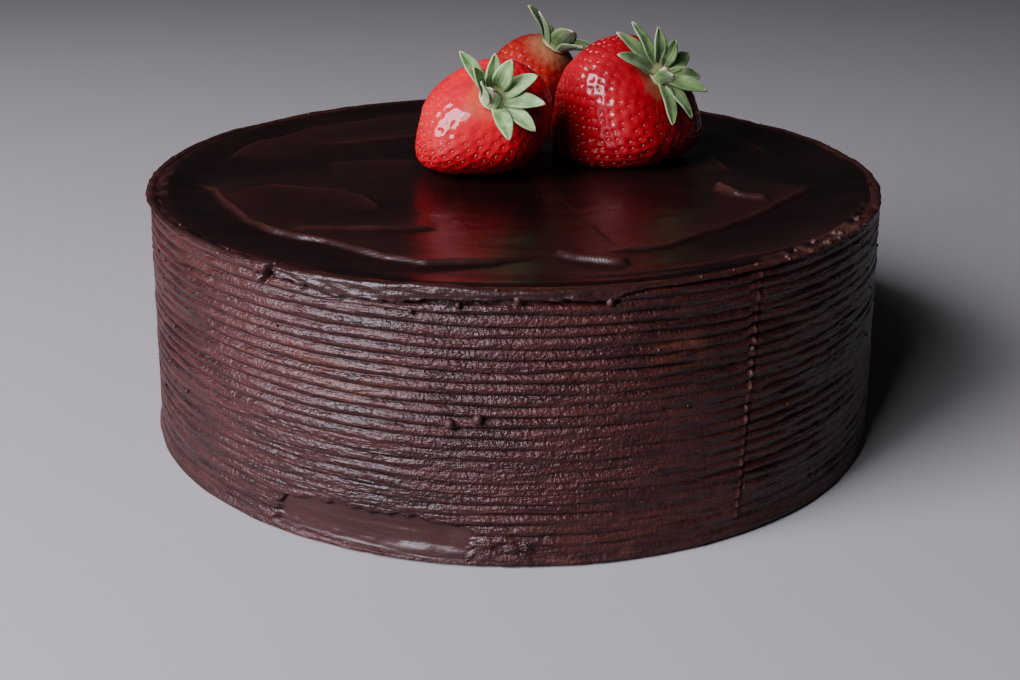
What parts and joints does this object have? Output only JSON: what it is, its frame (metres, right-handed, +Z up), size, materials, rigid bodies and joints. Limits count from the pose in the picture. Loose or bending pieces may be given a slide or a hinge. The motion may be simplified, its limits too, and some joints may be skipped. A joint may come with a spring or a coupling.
{
  "type": "chocolate cake",
  "caption": "Round chocolate layer cake, iced all over, with a comb-ridged side, a spread top and fresh leafy strawberries set in the middle.",
  "frame": {"origin": "centre of the cake's flat base", "axes": "+Z up; -Y towards the side that the picture is taken from, so +X is to the picture's right"},
  "size_m": [0.2308, 0.2308, 0.1207],
  "materials": {
    "chocolate_icing": "greasy satin, glossy where spread smooth",
    "strawberry_red": "wet gloss",
    "sepal_green": "matte, slightly downy"
  },
  "bodies": {
    "root": {"cake": "chocolate_icing", "berry_left": "strawberry_red", "berry_right": "strawberry_red", "berry_back": "strawberry_red", "cap_left": "sepal_green", "cap_right": "sepal_green", "cap_back": "sepal_green"}
  },
  "joints": []
}
